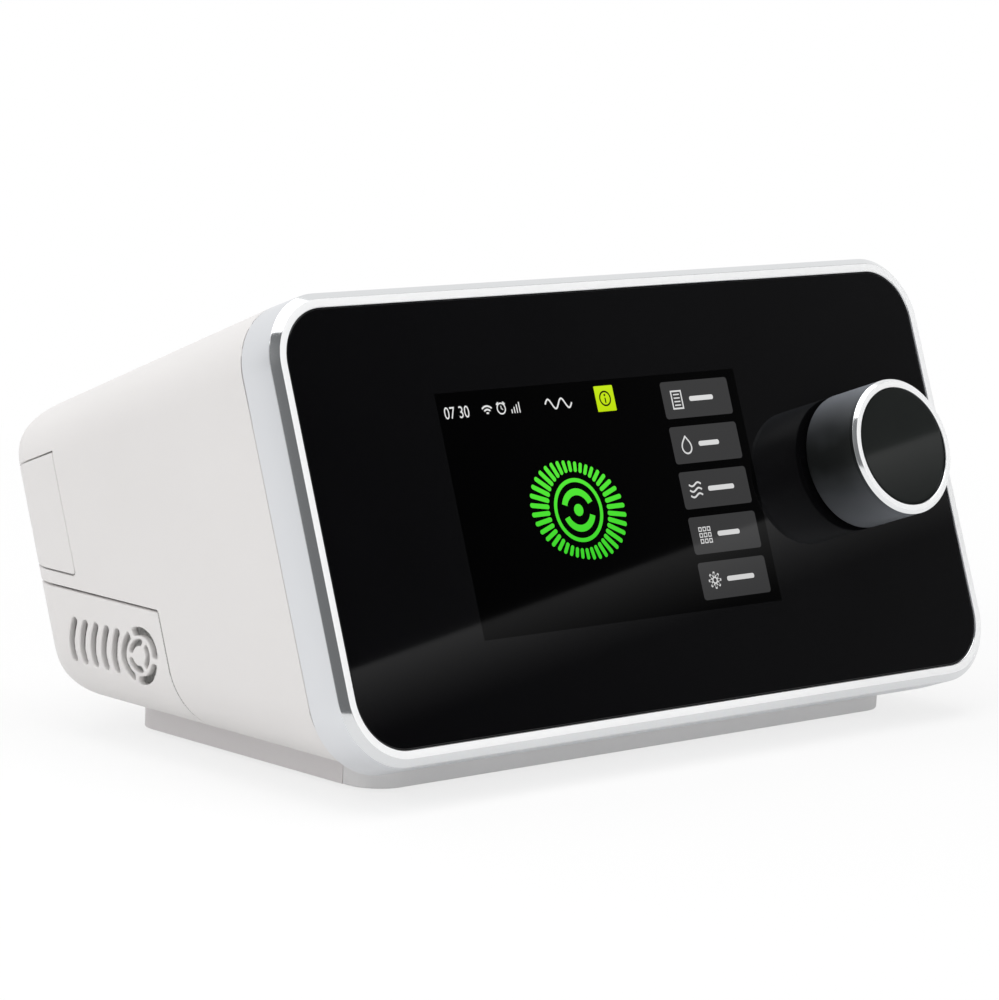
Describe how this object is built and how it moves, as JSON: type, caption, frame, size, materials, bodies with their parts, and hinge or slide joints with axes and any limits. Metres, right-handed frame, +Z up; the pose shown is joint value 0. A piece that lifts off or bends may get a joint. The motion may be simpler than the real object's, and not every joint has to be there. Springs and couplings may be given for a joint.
{
  "type": "bilevel pap machine",
  "caption": "Bedside breathing machine with a leaning black glass front, metal rim, turn and press knob, side filter cover, port door and rear air outlet.",
  "frame": {"origin": "on the table, under the middle of the machine's outline", "axes": "+Z up, the glass front faces -Y, +X to the viewer's right"},
  "size_m": [0.22, 0.1562, 0.1157],
  "materials": {
    "casing_white": "fine satin moulded",
    "strip_grey": "satin moulded",
    "rim_satin": "satin silver with polished edge",
    "knob_bright": "polished",
    "front_glass": "black backed glass, glossy",
    "screen": "lit screen behind the glass",
    "knob_grey": "satin gunmetal",
    "knob_black": "gloss",
    "metal": "plain",
    "black_plastic": "satin moulded",
    "board_green": "circuit board",
    "cable": "polyimide",
    "rubber": "matt",
    "foam": "open cell",
    "inner_plastic": "moulded",
    "copper": "wound",
    "plate": "bare satin label plate"
  },
  "bodies": {
    "machine": {"rear_housing": "casing_white", "base_shell": "casing_white", "foot_front_strip": "strip_grey", "bezel_frame": "rim_satin", "front_glass": "front_glass", "glass_tape": "rubber", "screen_module": "screen", "front_chassis": "black_plastic", "encoder_body": "black_plastic", "encoder_nut": "metal", "knob_board": "board_green", "intake_filter": "foam", "intake_grommet": "rubber", "door_hinge_pin": "metal", "port_board": "board_green", "usb_socket": "metal", "card_socket": "black_plastic", "main_board": "board_green", "coin_cell": "metal", "board_screws": "metal", "chassis_screws": "metal", "speaker": "black_plastic", "screen_cable": "cable", "power_board": "board_green", "dc_inlet": "black_plastic", "power_switch": "black_plastic", "air_box_tray": "inner_plastic", "air_box_lid": "inner_plastic", "silencer_foam": "foam", "blower_lower_case": "inner_plastic", "blower_upper_case": "inner_plastic", "motor_stator": "copper", "blower_bearings": "metal", "blower_mounts": "rubber", "flow_sensor": "inner_plastic", "outlet_sleeve": "rubber", "air_outlet": "inner_plastic", "outlet_seal": "rubber", "rubber_feet": "rubber", "base_screws": "metal", "rating_plate": "plate"},
    "plunger": {"encoder_plunger": "metal"},
    "knob": {"encoder_shaft": "metal", "knob_skirt": "knob_grey", "knob_ring": "knob_bright", "knob_cap": "knob_black"},
    "filter_cover": {"filter_cover": "casing_white"},
    "port_door": {"port_door": "casing_white"},
    "power_button": {"power_button": "black_plastic"},
    "fan": {"blower_wheel": "black_plastic", "motor_rotor": "black_plastic", "blower_shaft": "metal"}
  },
  "joints": [
    {"name": "knob_press", "type": "slide", "parent": "machine", "child": "plunger", "axis": [0, 0.9373, -0.3486], "range_m": [0, 0.0008], "stiffness_N_per_m": 400, "springref_m": -0.001},
    {"name": "knob_turn", "type": "hinge", "parent": "plunger", "child": "knob", "pos_m": [0.0722, -0.06352, 0.06972], "axis": [0, -0.9373, 0.3486], "continuous": true},
    {"name": "filter_cover_pull", "type": "slide", "parent": "machine", "child": "filter_cover", "axis": [-1, 0, 0], "range_m": [0, 0.03]},
    {"name": "port_door_open", "type": "hinge", "parent": "machine", "child": "port_door", "pos_m": [-0.0916, 0.05656, 0.05152], "axis": [0, -0.3486, -0.9373], "range_deg": [0, 95]},
    {"name": "power_button_press", "type": "slide", "parent": "machine", "child": "power_button", "axis": [0, -0.9373, 0.3486], "range_m": [0, 0.0015], "stiffness_N_per_m": 300, "springref_m": -0.001},
    {"name": "fan_spin", "type": "hinge", "parent": "machine", "child": "fan", "pos_m": [-0.007, 0.01616, 0.05161], "axis": [0, 0.3486, 0.9373], "continuous": true}
  ]
}
